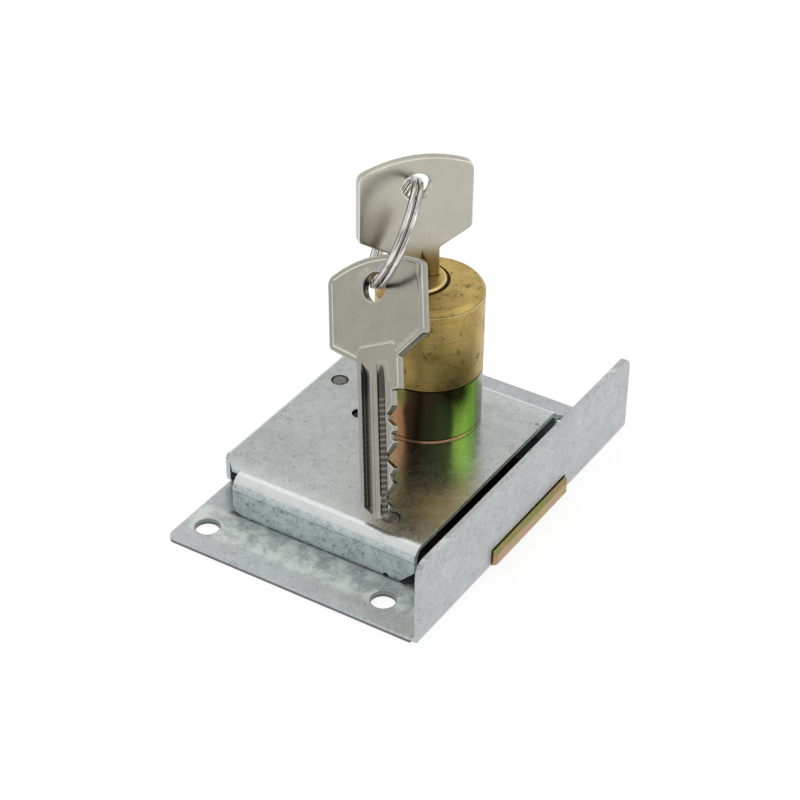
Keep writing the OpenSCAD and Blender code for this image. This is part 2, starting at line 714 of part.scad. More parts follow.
// A key, its milled face towards -Y
module key() {
    face = -key_t / 2;
    difference() {
        union() {
            key_plate(key_t) bow_outline(0);
            key_plate(key_t) translate([-neck_w / 2, -stop_h]) square([neck_w, stop_h + 0.5]);
            key_plate(key_t) blade_outline();
        }
        translate([0, face + rim_h, 0]) rotate([90, 0, 0]) linear_extrude(1) bow_outline(rim_w);
        translate([0, face + rim_h, 0]) rotate([90, 0, 0]) linear_extrude(1) polygon(rounded([
            [-neck_w / 2 + rim_w / 2, -stop_h - 1, 0], [neck_w / 2 - rim_w / 2, -stop_h - 1, 0],
            [neck_w / 2 - 2 * rim_w, -rim_w / 2, 0.8], [-neck_w / 2 + 2 * rim_w, -rim_w / 2, 0.8]]));
        translate([0, 0, bow_hole_h]) rotate([90, 0, 0]) cylinder(h = 2 * key_t, d = bow_hole, center = true);
        flute(wide_flute[0], wide_flute[1]);
        flute(narrow_flute[0], narrow_flute[1]);
    }
}

module lock_key() {
    color("#b8b5a8") at_key() key();
}

module spare_key() {
    color("#b8b5a8") translate(spare_hole) rotate([0, 0, spare_tilt[2]]) rotate([spare_tilt[0], 0, 0])
        rotate([0, spare_tilt[1], 0]) translate([0, 0, -bow_hole_h]) key();
}

// Two turns of wire side by side: each lies flat but where it steps across to the other
ring_rings = 24;
ring_pitch = ring_wire + ring_gap;
ring_step = 360 / ring_rings;
function ramp(x) = let(t = max(0, min(1, x))) t * t * (3 - 2 * t);
ring_angles = [for (i = [1:2 * ring_rings - 1]) i * ring_step];
ring_path = [for (a = ring_angles) [ring_d / 2 * cos(a), ring_d / 2 * sin(a),
    ring_pitch * (ramp((a - 360 + ring_step) / (2 * ring_step)) - 0.5)]];

module split_ring() {
    radial = [for (a = ring_angles) [cos(a), sin(a), 0]];
    axial = [for (a = ring_angles) [0, 0, 1]];
    color("#c5c6c6") translate(ring_at) rotate(ring_tilt) rotate([0, 0, ring_spin])
        polyhedron(tube_points(ring_path, radial, axial, ring_wire / 2, 6), tube_faces(len(ring_path), 6));
}

echo(ring_gap_measured = tube_gap(ring_path, ring_rings, ring_wire));
echo(spring_gap_measured = tube_gap(spring_path, spring_rings, spring_wire));

base_plate();
case_cover();
near_pillar();
far_pillar();
bolt();
guide_stump();
bolt_spring();
spring_rivet();
drive_cam();
cam_screw();
plug();
cylinder_body();
cylinder_collar();
cylinder_screws();
chamber_caps();
key_pin(0);  // key_pin_1
key_pin(1);  // key_pin_2
key_pin(2);  // key_pin_3
key_pin(3);  // key_pin_4
key_pin(4);  // key_pin_5
driver_pins();
pin_springs();
lock_key();
spare_key();
split_ring();
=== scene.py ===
import math

import bmesh
import bpy
import numpy as np
from mathutils import Matrix, Vector
from mathutils.geometry import delaunay_2d_cdt

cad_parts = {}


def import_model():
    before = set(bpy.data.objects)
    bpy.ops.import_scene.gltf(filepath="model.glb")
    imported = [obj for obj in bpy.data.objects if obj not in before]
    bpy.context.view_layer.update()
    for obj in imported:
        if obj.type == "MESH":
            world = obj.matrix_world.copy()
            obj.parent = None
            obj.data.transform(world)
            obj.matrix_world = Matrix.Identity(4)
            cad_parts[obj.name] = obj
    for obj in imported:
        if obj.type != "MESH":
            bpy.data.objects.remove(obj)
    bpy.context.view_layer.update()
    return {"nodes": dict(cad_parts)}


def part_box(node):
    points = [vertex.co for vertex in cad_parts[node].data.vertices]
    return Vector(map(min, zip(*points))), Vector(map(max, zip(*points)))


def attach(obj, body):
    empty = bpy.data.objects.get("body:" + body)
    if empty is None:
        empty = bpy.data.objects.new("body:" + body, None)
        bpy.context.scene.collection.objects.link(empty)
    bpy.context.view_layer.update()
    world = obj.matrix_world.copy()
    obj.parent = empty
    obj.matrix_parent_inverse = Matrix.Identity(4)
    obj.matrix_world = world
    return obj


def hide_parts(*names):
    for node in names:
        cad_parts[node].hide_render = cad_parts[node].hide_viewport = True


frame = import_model()
nodes = frame["nodes"]
MM = 0.001

# Places that the lock's source gives, in millimetres
CYL_AXIS = (1.3, 12.4)
PLUG_AXIS = (-2.1, 12.4)
KEY_TURN = math.radians(50)
PLUG_RADIUS = 6.2
COVER_TOP, COLLAR_TOP, CYL_TOP = 9.75, 22.2, 40.6
BEND_FOOT = COVER_TOP - 2.8
HALF_COVER = 28.0
COVER_FOOT = (1.2, 20.4)  # middle and half length of the side wall's lower edge
UNDER_COVER = ((-1.0, 0.0), (17.5, 19.0))  # middle and half size of the plate's part that the cover hides
PILLAR_RADIUS, PEEP_RADIUS = 1.7, 1.8
SCREW_AT, SCREW_RADIUS = (20.5, 34.5), 2.5
SELVEDGE_BEND = 31.0
NEAR_PILLAR, FAR_PILLAR, PEEP_HOLE = (tuple((lo + hi) / 2 / MM for lo, hi in list(zip(*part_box(n)))[:2])
                                      for n in ("near_pillar", "far_pillar", "guide_stump"))
RING_AT = (-4.328, 7.717, 52.765)
RING_LEAN, RING_TURN = math.radians(67.55), math.radians(210.3)

# Colour of the painted highlights on and beside the cover's bends.
ZINC_HIGHLIGHT = (0.74, 0.76, 0.75)


def put_in(name, data):
    """A new object of the scene that shows data."""
    obj = bpy.data.objects.new(name, data)
    bpy.context.scene.collection.objects.link(obj)
    return obj


def smooth_shaded(data, degrees):
    """Smooth faces, with sharp edges where they bend by more than degrees."""
    for poly in data.polygons:
        poly.use_smooth = True
    data.set_sharp_from_angle(angle=math.radians(degrees))


class Tree:
    """A material's node tree, with short calls for the nodes it uses. Lengths are in millimetres."""

    def __init__(self, name):
        self.mat = bpy.data.materials.new(name)
        self.mat.use_nodes = True
        self.nt = self.mat.node_tree
        self.nt.nodes.clear()
        out = self.nt.nodes.new("ShaderNodeOutputMaterial")
        self.shader = self.nt.nodes.new("ShaderNodeBsdfPrincipled")
        self.nt.links.new(self.shader.outputs[0], out.inputs[0])
        coord = self.nt.nodes.new("ShaderNodeTexCoord")
        scale = self.nt.nodes.new("ShaderNodeVectorMath")
        scale.operation = "SCALE"
        scale.inputs["Scale"].default_value = 1000.0
        self.link(coord.outputs["Object"], scale.inputs[0])
        self.mm = scale.outputs[0]
        self.normal = self.new("ShaderNodeNewGeometry").outputs["Normal"]

    def new(self, kind, **props):
        node = self.nt.nodes.new(kind)
        for k, v in props.items():
            setattr(node, k, v)
        return node

    def link(self, a, b):
        self.nt.links.new(a, b)

    def put(self, socket, value):
        """Links value to the socket, or sets it: one number fills a vector, and a colour gets its alpha."""
        if hasattr(value, "is_output"):
            self.link(value, socket)
        elif hasattr(socket.default_value, "__len__") and not hasattr(value, "__len__"):
            socket.default_value = [value] * len(socket.default_value)
        elif hasattr(value, "__len__") and len(value) == 3 and len(socket.default_value) == 4:
            socket.default_value = (*value, 1.0)
        else:
            socket.default_value = value

    def math(self, op, a, b=0.0):
        n = self.new("ShaderNodeMath", operation=op)
        for s, v in zip(n.inputs, (a, b)):
            self.put(s, v)
        return n.outputs[0]

    def vec(self, op, a, b=(0, 0, 0)):
        n = self.new("ShaderNodeVectorMath", operation=op)
        self.put(n.inputs[0], a)
        self.put(n.inputs[1], b)
        return n.outputs["Value"] if op in ("DOT_PRODUCT", "LENGTH") else n.outputs[0]

    def xyz(self, v):
        n = self.new("ShaderNodeSeparateXYZ")
        self.put(n.inputs[0], v)
        return n.outputs[0], n.outputs[1], n.outputs[2]

    def join(self, x, y, z):
        n = self.new("ShaderNodeCombineXYZ")
        for s, v in zip(n.inputs, (x, y, z)):
            self.put(s, v)
        return n.outputs[0]

    def place(self, shift=(0, 0, 0), turn=(0, 0, 0), stretch=(1, 1, 1)):
        """Millimetre coordinates seen from a piece's own origin and axes, then stretched."""
        n = self.new("ShaderNodeMapping", vector_type="TEXTURE")
        self.put(n.inputs["Vector"], self.mm)
        n.inputs["Location"].default_value = shift
        n.inputs["Rotation"].default_value = turn
        return n.outputs[0] if tuple(stretch) == (1, 1, 1) else self.vec("MULTIPLY", n.outputs[0], stretch)

    def noise(self, v, scale, detail=3.0, rough=0.5, distort=0.0):
        n = self.new("ShaderNodeTexNoise")
        self.put(n.inputs["Vector"], v)
        n.inputs["Scale"].default_value = scale
        n.inputs["Detail"].default_value = detail
        n.inputs["Roughness"].default_value = rough
        n.inputs["Distortion"].default_value = distort
        return n.outputs["Fac"]

    def cells(self, v, scale):
        """A colour for each crystal, as zinc spangles have."""
        n = self.new("ShaderNodeTexVoronoi", feature="F1")
        self.put(n.inputs["Vector"], v)
        n.inputs["Scale"].default_value = scale
        n.inputs["Randomness"].default_value = 1.0
        return n.outputs["Color"]

    def fit(self, x, a, b, c=0.0, d=1.0, smooth=True):
        """c where x is a, d where x is b, kept between them outside."""
        n = self.new("ShaderNodeMapRange", interpolation_type="SMOOTHSTEP" if smooth else "LINEAR", clamp=True)
        self.put(n.inputs[0], x)
        for s, v in zip(n.inputs[1:5], (a, b, c, d)):
            s.default_value = v
        return n.outputs[0]

    def product(self, a, *others):
        """All multiplied."""
        for b in others:
            a = self.math("MULTIPLY", a, b)
        return a

    def total(self, a, *others):
        """All added."""
        for b in others:
            a = self.math("ADD", a, b)
        return a

    def rest(self, x):
        """1 less x."""
        return self.math("SUBTRACT", 1.0, x)

    def spread(self, x, amount):
        """x, which runs over 0 to 1, moved to run evenly about 0 over amount."""
        return self.math("MULTIPLY", self.math("SUBTRACT", x, 0.5), amount)

    def reach(self, x, y, at):
        """Distance from the upright line through at."""
        return self.vec("LENGTH", self.join(self.math("SUBTRACT", x, at[0]), self.math("SUBTRACT", y, at[1]), 0.0))

    def band(self, x, mid, half, soft):
        """1 where x is within half of mid, fading out over soft."""
        return self.fit(self.math("ABSOLUTE", self.math("SUBTRACT", x, mid)), half, half + soft, 1.0, 0.0)

    def ramp(self, x, stops, mode="LINEAR"):
        n = self.new("ShaderNodeValToRGB")
        n.color_ramp.interpolation = mode
        els = n.color_ramp.elements
        while len(els) > 1:
            els.remove(els[-1])
        els[0].position, els[0].color = stops[0][0], (*stops[0][1], 1.0)
        for at, colour in stops[1:]:
            els.new(at).color = (*colour, 1.0)
        self.put(n.inputs[0], x)
        return n.outputs[0]

    def mix(self, t, a, b):
        n = self.new("ShaderNodeMix", data_type="RGBA", blend_type="MIX", clamp_factor=True)
        self.put(n.inputs[0], t)
        self.put(n.inputs[6], a)
        self.put(n.inputs[7], b)
        return n.outputs[2]

    def tone(self, colour, amount):
        """colour times a grey amount."""
        return self.vec("MULTIPLY", colour, self.join(amount, amount, amount))

    def bump(self, height, depth, strength=1.0, normal=None):
        """height runs over 0 to 1 and stands for depth millimetres."""
        n = self.new("ShaderNodeBump")
        n.inputs["Strength"].default_value = strength
        n.inputs["Distance"].default_value = depth * MM
        self.put(n.inputs["Height"], height)
        if normal is not None:
            self.link(normal, n.inputs["Normal"])
        return n.outputs[0]

    def round_edges(self, radius):
        n = self.new("ShaderNodeBevel", samples=6)
        n.inputs["Radius"].default_value = radius * MM
        return n.outputs[0]

    def finish(self, colour, rough, normal):
        s = self.shader.inputs
        self.put(s["Base Color"], colour)
        self.put(s["Roughness"], rough)
        s["Metallic"].default_value = 1.0
        self.link(normal, s["Normal"])
        return self.mat


def cover_marks(t, p, colour, wall, up):
    """Painted highlight and painted shade lines where the bends meet the walls, painted shade in the peep hole,
    painted highlights on the bends and on the top beside them, and painted shade in rings round the pillars.
    """
    x, y, z = t.xyz(t.mm)
    # Painted highlight line, with a painted shade line under it, where the bends meet the walls.
    line = t.band(z, BEND_FOOT + 0.15, 0.10, 0.12)
    colour = t.mix(t.product(line, wall, 0.5), colour, (0.80, 0.83, 0.82))
    line = t.product(t.band(z, BEND_FOOT - 0.2, 0.10, 0.16), t.fit(t.noise(p, 0.5, 3), 0.4, 0.6, 0.3))
    colour = t.mix(t.product(line, wall, 0.45), colour, (0.16, 0.18, 0.18))
    # Painted shade inside the peep hole.
    inside = t.product(t.fit(t.reach(x, y, PEEP_HOLE), PEEP_RADIUS, PEEP_RADIUS + 0.15, 1.0, 0.0),
                       t.fit(wall, 0.0, 0.5))
    colour = t.mix(inside, colour, (0.02, 0.02, 0.02))
    # Painted highlight on the top beside the long bends.
    glow = t.product(t.fit(t.math("ABSOLUTE", y), HALF_COVER - 7.5, HALF_COVER - 2.6, 0.0, 0.42),
                     t.fit(t.noise(p, 0.35, 4, 0.65), 0.3, 0.6, 0.6))
    colour = t.mix(t.product(glow, t.rest(wall)), colour, ZINC_HIGHLIGHT)
    # Painted shade in rings round the pillar ends.
    for pillar in (NEAR_PILLAR, FAR_PILLAR):
        ring = t.product(t.band(t.reach(x, y, pillar), PILLAR_RADIUS, 0.10, 0.18), 0.85)
        colour = t.mix(ring, colour, (0.05, 0.05, 0.05))
    # Painted highlight on the bends.
    bend_highlight = t.product(t.band(up, 0.72, 0.16, 0.12), t.fit(t.noise(p, 0.5, 3, 0.6), 0.3, 0.6, 0.6))
    colour = t.mix(bend_highlight, colour, ZINC_HIGHLIGHT)
    return colour


def plate_marks(t, colour, wall):
    """White blooms beside the cover, a dark line of painted shade with stains along its lower edge, the shade under
    it, and dark rims. Gives the blooms too.
    """
    x, y, z = t.xyz(t.mm)
    beside = t.math("SUBTRACT", t.math("ABSOLUTE", y), HALF_COVER)
    flat = t.rest(wall)
    bloom = t.product(t.fit(t.noise(t.place(shift=(2, 5, 1)), 0.26, 5, 0.66, 0.2), 0.40, 0.60),
                      t.band(beside, 4.6, 2.6, 2.6), flat)
    colour = t.mix(t.product(bloom, 0.66), colour, (0.76, 0.80, 0.74))
    # A dark line along the cover's lower edge: painted shade with stains in it.
    foot = t.product(t.band(beside, 0.0, 0.25, 0.5), t.band(x, *COVER_FOOT, 0.8))
    foot = t.product(foot, flat, t.fit(t.noise(t.mm, 0.9, 3, 0.6), 0.35, 0.50, 0.5))
    colour = t.mix(t.product(foot, 0.8), colour, (0.07, 0.08, 0.08))
    under = t.product(*(t.band(v, mid, half, 2.0) for v, mid, half in zip((x, y), *UNDER_COVER)),
                      flat, t.fit(z, 0.6, 1.0, 0.0, 0.94))
    colour = t.mix(under, colour, (0.025, 0.024, 0.022))
    rim = t.product(wall, t.fit(z, 0.50, 0.72, 1.0, 0.0),
                    t.fit(x, SELVEDGE_BEND, SELVEDGE_BEND + 0.1, 1.0, 0.0))
    colour = t.mix(t.product(rim, 0.8), colour, (0.08, 0.085, 0.085))
    hole = t.reach(t.math("ABSOLUTE", x), t.math("ABSOLUTE", y), SCREW_AT)
    colour = t.mix(t.product(t.band(hole, SCREW_RADIUS, 0.08, 0.12), 0.65), colour, (0.10, 0.11, 0.11))
    return colour, bloom


def zinc(name, seed, top, side, cover=False):
    """Zinc-plated sheet: spangles, clouds, streaks, and pits on its walls. The walls get a lighter colour than the
    top: painted light.
    """
    t = Tree(name)
    p = t.place(shift=(seed, seed * 0.7, seed * 0.3))
    spangle = t.xyz(t.cells(t.vec("ADD", p, t.vec("MULTIPLY", t.noise(p, 0.9, 2), (1.2, 1.2, 1.2))), 0.75))[0]
    fine = t.noise(p, 2.6, 4, 0.6)
    cloud = t.noise(p, 0.13, 4, 0.55, 0.4)
    grain = t.noise(p, 9.0, 2, 0.5)
    specks = t.fit(t.noise(p, 1.15, 3, 0.62), 0.60, 0.72)
    up = t.math("ABSOLUTE", t.xyz(t.normal)[2])
    wall = t.fit(up, 0.35, 0.85, 1.0, 0.0)
    tone = t.total(t.spread(spangle, 0.10), t.spread(fine, 0.60), t.spread(cloud, 0.30), t.spread(grain, 0.60))
    smudge = t.fit(t.noise(p, 0.42, 5, 0.72), 0.42, 0.64)
    pits = t.product(wall, t.fit(t.noise(p, 1.25, 5, 0.75), 0.50, 0.66))
    pits = t.total(t.product(pits, t.total(smudge, 0.35)), t.product(smudge, wall, 0.35))
    dark = t.math("MAXIMUM", t.product(specks, 0.36), t.product(pits, 0.54 if cover else 0.16))
    tone = t.math("SUBTRACT", t.total(tone, 1.0), dark)
    streak = t.noise(t.place(shift=(seed, 0, 0), stretch=(0.9, 0.9, 2.2)), 0.85, 4, 0.68, 0.8)
    tone = t.total(tone, t.spread(streak, 0.10 if cover else 0.42))
    # The walls' colour is painted lighter than the top's: painted light.
    colour = t.tone(t.mix(wall, top, side), tone)
    if cover:
        colour = cover_marks(t, p, colour, wall, up)
        low, high, plated = 0.17, 0.27, t.fit(wall, 0.3, 1.0, 1.0, 0.5)
    else:
        colour, bloom = plate_marks(t, colour, wall)
        low, high, plated = 0.32, 0.42, t.rest(t.product(bloom, 0.6))
    rough = t.total(t.fit(fine, 0.25, 0.75, low, high, smooth=False), t.product(spangle, 0.05),
                    t.product(wall, 0.14 if cover else 0.0))
    hollow = t.product(t.rest(specks), 0.25 if cover else 0.5)
    height = t.total(t.product(fine, 0.5), hollow)
    normal = t.bump(height, 0.025 if cover else 0.035, 0.6, t.round_edges(0.16))
    normal = t.bump(cloud, 0.25, 0.35, normal)
    t.finish(colour, rough, normal)
    t.put(t.shader.inputs["Metallic"], plated)
    return t.mat


def rivet():
    """Dull plated steel of the riveted ends and screws."""
    t = Tree("plated_rivet_steel")
    p = t.mm
    fine = t.noise(p, 3.2, 3, 0.6)
    colour = t.ramp(fine, [(0.3, (0.09, 0.09, 0.084)), (0.7, (0.26, 0.255, 0.238))])
    return t.finish(colour, t.fit(fine, 0.3, 0.7, 0.34, 0.46), t.bump(fine, 0.05, 0.8, t.round_edges(0.12)))


def passivated(name, around=None):
    """Yellow passivated zinc: green, pink and gold patches. around takes them round the cylinder as bands by angle,
    partly the zinc's colours and partly painted reflections, with painted shade at its joints and a painted
    highlight on its lower edge.
    """
    t = Tree(name)
    if around is None:
        p = t.mm
        wave = t.noise(t.place(stretch=(0.6, 0.32, 0.8)), 0.32, 3, 0.5, 0.6)
        colour = t.ramp(wave, [
            (0.25, (0.15, 0.26, 0.06)), (0.37, (0.34, 0.30, 0.10)), (0.46, (0.44, 0.29, 0.13)),
            (0.53, (0.46, 0.25, 0.19)), (0.62, (0.38, 0.29, 0.11)), (0.74, (0.20, 0.29, 0.08))])
        high = t.product(t.fit(t.xyz(p)[2], 2.9, 4.3), t.fit(t.noise(p, 0.25, 2), 0.3, 0.6, 0.35, 0.9))
        colour = t.mix(high, colour, (0.26, 0.27, 0.09))
    else:
        p = t.place(shift=(*around, 0.0))
        x, y, z = t.xyz(p)
        angle = t.math("DIVIDE", t.math("ARCTAN2", y, x), math.tau)
        waver = t.noise(t.place(stretch=(0.5, 0.5, 0.16)), 0.35, 3, 0.55)
        turn = t.math("FRACT", t.total(angle, 1.0, t.spread(waver, 0.07)))
        # Bands by angle: the passivation's colours mixed with painted reflections, among them a painted copper
        # highlight and dark painted reflections.
        colour = t.ramp(turn, [
            (0.00, (0.26, 0.40, 0.10)), (0.05, (0.20, 0.22, 0.14)), (0.16, (0.34, 0.24, 0.10)),
            (0.28, (0.16, 0.12, 0.05)), (0.40, (0.30, 0.36, 0.10)), (0.52, (0.44, 0.26, 0.15)),
            (0.63, (0.40, 0.33, 0.12)), (0.70, (0.50, 0.38, 0.13)), (0.735, (0.86, 0.50, 0.24)),
            (0.757, (0.72, 0.36, 0.18)), (0.777, (0.085, 0.045, 0.026)), (0.82, (0.068, 0.062, 0.032)),
            (0.872, (0.072, 0.108, 0.038)), (0.898, (0.08, 0.11, 0.04)), (0.922, (0.35, 0.56, 0.09)),
            (0.968, (0.34, 0.66, 0.07))], "EASE")
        brown = t.product(t.fit(z, COLLAR_TOP - 5.7, COLLAR_TOP - 1.7, 0.0, 0.85),
                          t.fit(t.noise(p, 0.22, 3, 0.55), 0.40, 0.58), t.band(turn, 0.86, 0.07, 0.05))
        colour = t.mix(brown, colour, (0.085, 0.050, 0.028))
        leaf = t.product(t.fit(z, COLLAR_TOP - 5.2, COLLAR_TOP - 2.0), t.band(turn, 0.72, 0.015, 0.05))
        colour = t.mix(leaf, colour, (0.20, 0.42, 0.06))
        # Painted shade lines at the joint with the cylinder and just above the collar's lower edge.
        seam_shade = t.math("MAXIMUM", t.fit(z, COLLAR_TOP - 0.6, COLLAR_TOP - 0.35),
                      t.band(z, COVER_TOP + 0.5, 0.06, 0.14))
        colour = t.mix(t.product(seam_shade, 0.85), colour, (0.02, 0.015, 0.01))
        # Painted copper highlight on the collar's lower edge, on one side.
        edge = t.fit(z, COVER_TOP + 0.18, COVER_TOP + 0.33, 1.0, 0.0)
        colour = t.mix(t.product(edge, t.band(turn, 0.875, 0.05, 0.07)), colour, (0.95, 0.53, 0.29))
    fine = t.noise(t.mm, 4.0, 3, 0.6)
    colour = t.tone(colour, t.fit(fine, 0.25, 0.75, 0.86, 1.12, smooth=False))
    return t.finish(colour, t.fit(fine, 0.3, 0.7, 0.20, 0.30), t.bump(fine, 0.02, 0.5, t.round_edges(0.15)))


def brass(name, axis=CYL_AXIS, tarnish=1.0, seed=0.0):
    """Turned brass: rings round the axis on its faces, lines round its side, brown spots, and painted shade and
    highlights at the top's gap and edges.
    """
    t = Tree(name)
    p = t.place(shift=(*axis, 0.0))
    x, y, z = t.xyz(p)
    radius = t.reach(x, y, (0.0, 0.0))
    up = t.fit(t.math("ABSOLUTE", t.xyz(t.normal)[2]), 0.4, 0.8)
    along = t.total(t.product(up, radius), t.product(t.rest(up), z))
    lines = t.noise(t.join(t.product(along, 5.5), t.noise(p, 0.12, 2), 0.0), 1.6, 3, 0.65)
    q = t.place(shift=(seed, seed, seed))
    blotch = t.noise(q, 0.20, 4, 0.6, 0.5)
    spots = t.fit(t.noise(q, 0.42, 3, 0.6), 0.585, 0.665)
    fine = t.noise(q, 3.5, 4, 0.65)
    colour = t.ramp(blotch, [
        (0.28, (0.33, 0.222, 0.072)), (0.45, (0.49, 0.350, 0.112)), (0.70, (0.57, 0.422, 0.155))])
    colour = t.tone(colour, t.fit(lines, 0.2, 0.8, 0.66, 1.34, smooth=False))
    colour = t.tone(colour, t.fit(fine, 0.25, 0.75, 0.74, 1.24, smooth=False))
    dots = t.fit(t.noise(q, 1.3, 2, 0.6), 0.66, 0.73)
    brown = t.product(t.math("MAXIMUM", spots, dots), 0.66 * tarnish)
    colour = t.mix(brown, colour, (0.17, 0.105, 0.05))
    from_plug = t.reach(*t.xyz(t.mm)[:2], PLUG_AXIS)
    if axis == CYL_AXIS:
        # Painted shade in the gap round the plug.
        gap = t.product(t.band(from_plug, PLUG_RADIUS + 0.35, 0.28, 0.06),
                        t.fit(z, CYL_TOP - 0.25, CYL_TOP - 0.1, 1.0, 0.0))
        colour = t.mix(gap, colour, (0.02, 0.015, 0.01))
        # Painted shade line, then a painted highlight line below it, round the top's chamfer.
        line = t.product(t.band(z, CYL_TOP - 1.05, 0.06, 0.08), t.rest(up))
        colour = t.mix(t.product(line, 0.75), colour, (0.10, 0.07, 0.03))
        line = t.product(t.band(z, CYL_TOP - 1.3, 0.05, 0.08), t.rest(up))
        colour = t.mix(t.product(line, 0.6), colour, (0.85, 0.74, 0.42))
    else:
        # Painted highlight round the plug's edge, on the plug and pins.
        rim = t.product(t.fit(from_plug, PLUG_RADIUS - 0.65, PLUG_RADIUS - 0.4),
                        t.fit(z, CYL_TOP - 1.6, CYL_TOP - 1.2))
        colour = t.mix(t.product(rim, 0.7), colour, (0.80, 0.66, 0.30))
    rough = t.total(t.fit(lines, 0.2, 0.8, 0.33, 0.43, smooth=False), t.product(brown, 0.15))
    normal = t.bump(lines, 0.03, 0.55, t.round_edges(0.12))
    return t.finish(colour, rough, t.bump(fine, 0.03, 0.4, normal))


def nickel(name, origin, turn, base, brass_reflection=0.0):
    """Nickel plate with a fine upright grain, and the painted shade and highlights that the key's mesh carries. The
    neck gets a painted reflection of the brass plug, as strong as the last argument says.
    """
    t = Tree(name)
    p = t.place(shift=origin, turn=turn)
    z = t.xyz(p)[2]
    grain = t.noise(t.vec("MULTIPLY", p, (6.0, 6.0, 0.35)), 1.0, 3, 0.6)
    fine = t.noise(p, 7.0, 3, 0.6)
    cloud = t.noise(p, 0.22, 3, 0.5)
    tone = t.total(t.fit(grain, 0.2, 0.8, 0.975, 1.02, smooth=False), t.spread(fine, 0.75), t.spread(cloud, 0.20))
    # Painted shade and highlights per point, 0.5 for none.
    painted_shading = t.new("ShaderNodeAttribute", attribute_name="painted_shading").outputs["Fac"]
    tone = t.product(tone, painted_shading, 2.0)
    colour = t.mix(cloud, base, tuple(c * 1.08 for c in base))
    # A painted reflection of the brass plug, in brass colour, towards the neck.
    painted_light = t.product(t.fit(z, -4.5, 1.5, brass_reflection, 0.0), t.fit(cloud, 0.3, 0.6, 0.75))
    colour = t.tone(t.mix(painted_light, colour, (0.40, 0.31, 0.145)), tone)
    rough = t.total(t.fit(grain, 0.2, 0.8, 0.205, 0.235, smooth=False), t.product(cloud, 0.05))
    return t.finish(colour, rough, t.bump(fine, 0.02, 0.35))


def wire_steel(name, colour, rough, painted_light=False):
    """Plated wire. The ring's wire also gets a painted highlight on its inner and outer sides and painted shade
    where its two turns touch, broken up by noise.
    """
    t = Tree(name)
    fine = t.noise(t.mm, 4.5, 3, 0.6)
    scuff = t.noise(t.mm, 0.8, 3, 0.6)
    tint = t.mix(scuff, colour, tuple(c * 0.8 for c in colour))
    tint = t.tone(tint, t.fit(fine, 0.2, 0.8, 0.9, 1.08, smooth=False))
    if painted_light:
        # Painted highlight where the attribute is high, painted shade where it is low.
        painted_shading = t.new("ShaderNodeAttribute", attribute_name="painted_shading").outputs["Fac"]
        painted_shading = t.product(t.fit(painted_shading, 0.30, 0.95), t.fit(t.noise(t.mm, 0.28, 3, 0.6), 0.35, 0.6, 0.55))
        tint = t.tone(tint, t.total(t.product(painted_shading, 1.15), 0.28))
    return t.finish(tint, t.fit(scuff, 0.3, 0.7, rough, rough + 0.12), t.bump(fine, 0.01, 0.4))


# Where the keys' own axes stand
KEY_Z, KEY_SHIFT = 47.6, 0.5
LOCK_KEY_AT = (PLUG_AXIS[0] - KEY_SHIFT * math.cos(KEY_TURN), PLUG_AXIS[1] - KEY_SHIFT * math.sin(KEY_TURN), KEY_Z)
SPARE_AT = (2.35, -7.843, 34.242)
SPARE_TILT = (math.radians(-32.44), math.radians(-33.56), math.radians(-15.83))
SPARE_AXES = (Matrix.Rotation(SPARE_TILT[2], 3, "Z") @ Matrix.Rotation(SPARE_TILT[0], 3, "X")
              @ Matrix.Rotation(SPARE_TILT[1], 3, "Y"))
SPARE_TURN = SPARE_AXES.to_euler("XYZ")

looks = {
    # The second colour, for the walls, is painted lighter than the first: painted light.
    "base_plate": zinc("zinc_plate", 3.0, (0.46, 0.485, 0.485), (0.49, 0.515, 0.525)),
    "case_cover": zinc("zinc_cover", 17.0, (0.465, 0.48, 0.47), (0.61, 0.71, 0.70), cover=True),
    "near_pillar": rivet(),
    "bolt": passivated("passivated_bolt"),
    "cylinder_collar": passivated("passivated_collar", CYL_AXIS),
    "cylinder_body": brass("turned_brass"),
    "plug": brass("turned_brass_plug", PLUG_AXIS, 0.8, 5.0),
    "key_pin_1": brass("pin_brass", PLUG_AXIS, 0.2, 9.0),
    # The lock key's neck gets a painted reflection of the brass plug.
    "lock_key": nickel("nickel_lock_key", LOCK_KEY_AT, (0, 0, KEY_TURN), (0.46, 0.445, 0.38), brass_reflection=0.75),
    "spare_key": nickel("nickel_spare_key", SPARE_AT, tuple(SPARE_TURN), (0.37, 0.356, 0.312)),
    "bolt_spring": wire_steel("spring_steel", (0.42, 0.43, 0.45), 0.28),
    # Near black as painted shade, for the guide stump seen through the peep hole, and for the parts that share its
    # look.
    "guide_stump": wire_steel("steel_painted_dark", (0.07, 0.07, 0.072), 0.38),
}
same = {
    "near_pillar": ["far_pillar", "cylinder_screws"],
    "guide_stump": ["spring_rivet", "cam_screw"],
    "bolt": ["drive_cam"],
    "cylinder_body": ["chamber_caps"],
    "key_pin_1": ["key_pin_2", "key_pin_3", "key_pin_4", "key_pin_5", "driver_pins"],
    "bolt_spring": ["pin_springs"],
}
for first, others in same.items():
    for other in others:
        looks[other] = looks[first]
for name, obj in nodes.items():
    if name in looks:
        obj.data.materials.clear()
        obj.data.materials.append(looks[name])


# In a key's own axes s runs across towards the cuts, t up the bow, and the faces stand at y = -1.05 and 1.05.
KEY_T, NECK_FOOT, TIP = 2.1, -6.4, -30.8
HOLE_T, HOLE_R = 14.3, 2.9
BOW_HALF, BOW_ARCH, BOW_FOOT, BOW_SIDE = 11.7, 2.7, 3.7, 14
NECK_HALF, BLADE_BACK, BLADE_EDGE = 5.1, -5.0, 3.4
CUTS, CUT_STEP, CUT_PITCH, CUT_HALF, FIRST_CUT = (3, 1, 4, 2, 5), 0.5, 3.9, 0.45, NECK_FOOT - 5


